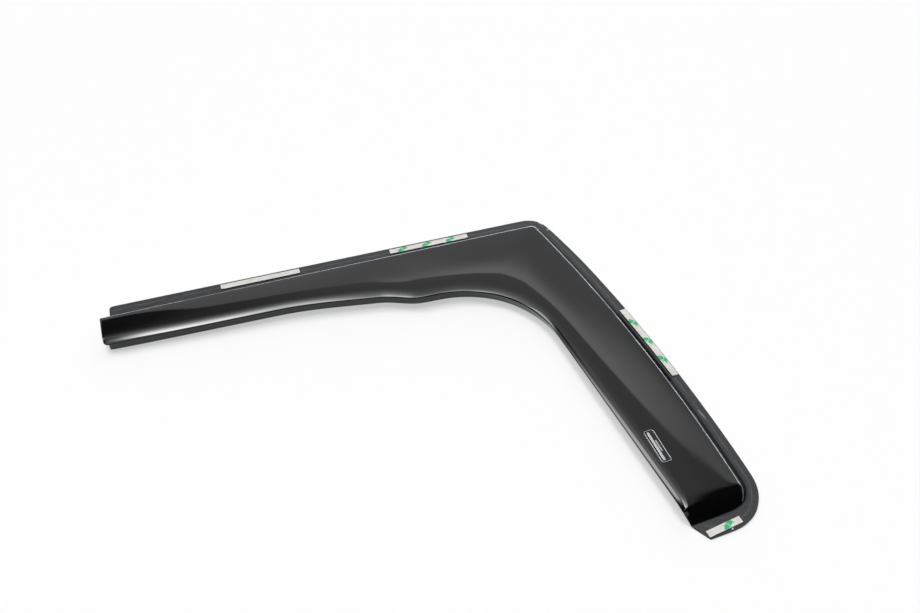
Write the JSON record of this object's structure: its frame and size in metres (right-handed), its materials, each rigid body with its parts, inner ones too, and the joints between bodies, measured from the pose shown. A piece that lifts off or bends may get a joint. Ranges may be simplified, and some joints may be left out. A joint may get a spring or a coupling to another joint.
{
  "type": "window rain deflector",
  "caption": "Stick-on smoked side window visor bent to cover the roof edge and the front pillar, with a raised shield over a flat bonding flange and foam tape under paper liners",
  "frame": {"origin": "on the underside of the flange, 5.8 mm inside the roof arm's outer edge, and 38 mm before the point where that edge would cross the pillar arm's outer edge", "axes": "+X runs along the roof arm's outer edge towards the bend, +Y points from the window opening out over the roof edge, +Z points out of the flange away from the car"},
  "size_m": [0.7148, 0.5692, 0.0255],
  "materials": {
    "smoked_acrylic": "polished dark smoke",
    "tape_foam": "closed-cell foam",
    "liner_film": "satin, off-white with green marks",
    "badge_metal": "satin"
  },
  "bodies": {
    "root": {"deflector_shell": "smoked_acrylic", "rear_roof_tape": "tape_foam", "front_roof_tape": "tape_foam", "pillar_tape": "tape_foam", "end_tape": "tape_foam", "rear_roof_liner": "liner_film", "front_roof_liner": "liner_film", "pillar_liner": "liner_film", "end_liner": "liner_film", "badge_plate": "badge_metal"}
  },
  "joints": []
}
